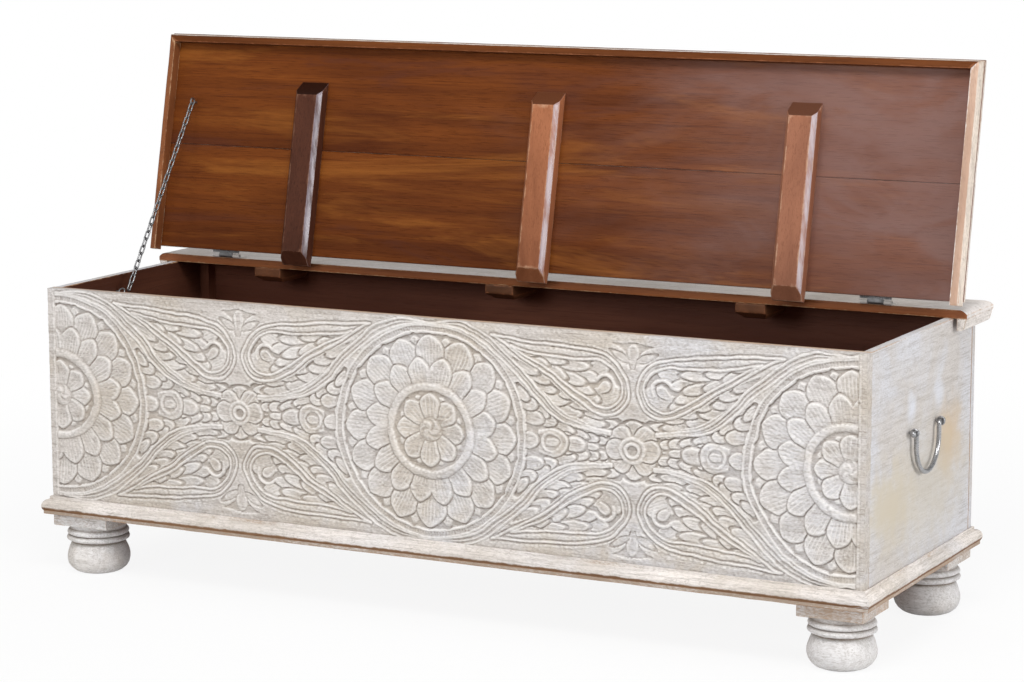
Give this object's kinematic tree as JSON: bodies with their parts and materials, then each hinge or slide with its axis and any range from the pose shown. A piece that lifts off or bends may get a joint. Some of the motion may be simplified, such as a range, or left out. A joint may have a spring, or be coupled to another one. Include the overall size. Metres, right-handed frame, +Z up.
{
  "type": "damchiya chest",
  "caption": "Long carved wooden dowry chest on turned bun feet: plank lid on butt hinges held open by a stay chain, fixed rear strip, moulded base and a bail handle on each end.",
  "frame": {"origin": "on the floor, at the middle of the whole outline with the lid open", "axes": "+X along the carved front to its right end as seen from the front, +Y from the carved front to the rear, +Z up"},
  "size_m": [1.548, 0.522, 0.9108],
  "materials": {
    "white_wood": "whitewashed and rubbed",
    "inner_wood": "old dark brown, matt",
    "lid_wood": "old reddish brown, matt",
    "rail_wood": "worn mid brown, matt",
    "painted_hinge": "whitewashed steel",
    "bare_steel": "dull galvanised",
    "handle_steel": "rubbed grey steel"
  },
  "bodies": {
    "chest": {"front_panel": "white_wood", "rear_panel": "white_wood", "left_side": "white_wood", "right_side": "white_wood", "front_moulding": "white_wood", "rear_moulding": "white_wood", "left_moulding": "white_wood", "right_moulding": "white_wood", "top_strip": "white_wood", "strip_rear_rim": "white_wood", "strip_left_rim": "white_wood", "strip_right_rim": "white_wood", "front_left_block": "white_wood", "front_right_block": "white_wood", "rear_left_block": "white_wood", "rear_right_block": "white_wood", "front_left_foot": "white_wood", "front_right_foot": "white_wood", "rear_left_foot": "white_wood", "rear_right_foot": "white_wood", "bottom_board": "inner_wood", "front_left_post": "inner_wood", "front_right_post": "inner_wood", "rear_left_post": "inner_wood", "rear_right_post": "inner_wood", "left_strip_block": "rail_wood", "middle_strip_block": "rail_wood", "right_strip_block": "rail_wood", "left_hinge_strip_leaf": "painted_hinge", "right_hinge_strip_leaf": "painted_hinge", "left_hinge_pin": "bare_steel", "right_hinge_pin": "bare_steel", "strip_hinge_screws": "bare_steel", "plinth_screws": "bare_steel", "box_chain_eye": "bare_steel", "left_handle_eyes": "handle_steel", "right_handle_eyes": "handle_steel"},
    "lid": {"lid_front_board": "lid_wood", "lid_rear_board": "lid_wood", "lid_front_rim": "rail_wood", "lid_left_rim": "rail_wood", "lid_right_rim": "rail_wood", "left_lid_batten": "rail_wood", "middle_lid_batten": "rail_wood", "right_lid_batten": "rail_wood", "left_hinge_lid_leaf": "bare_steel", "right_hinge_lid_leaf": "bare_steel", "lid_hinge_screws": "bare_steel", "lid_chain_eye": "bare_steel"},
    "chain_upper": {"chain_upper": "bare_steel"},
    "chain_lower": {"chain_lower": "bare_steel"},
    "left_handle": {"left_handle_bail": "handle_steel"},
    "right_handle": {"right_handle_bail": "handle_steel"}
  },
  "joints": [
    {"name": "lid_hinge", "type": "hinge", "parent": "chest", "child": "lid", "pos_m": [0, 0.129, 0.5194], "axis": [1, 0, 0], "range_deg": [0, 102.15]},
    {"name": "chain_top", "type": "hinge", "parent": "lid", "child": "chain_upper", "pos_m": [-0.711, 0.15604, 0.79181], "axis": [1, 0, 0], "range_deg": [-89.2, 0]},
    {"name": "chain_knee", "type": "hinge", "parent": "chain_upper", "child": "chain_lower", "pos_m": [-0.711, 0.0561, 0.64522], "axis": [1, 0, 0], "range_deg": [0, 146.6]},
    {"name": "left_handle_swing", "type": "hinge", "parent": "chest", "child": "left_handle", "pos_m": [-0.7595, -0.001, 0.348], "axis": [0, 1, 0], "range_deg": [-4, 184]},
    {"name": "right_handle_swing", "type": "hinge", "parent": "chest", "child": "right_handle", "pos_m": [0.7595, -0.001, 0.348], "axis": [0, -1, 0], "range_deg": [-4, 184]}
  ],
  "couplings": [
    {"joint": "chain_top", "follows": "lid_hinge", "ratio": -0.8727},
    {"joint": "chain_knee", "follows": "lid_hinge", "ratio": 1.4342}
  ]
}
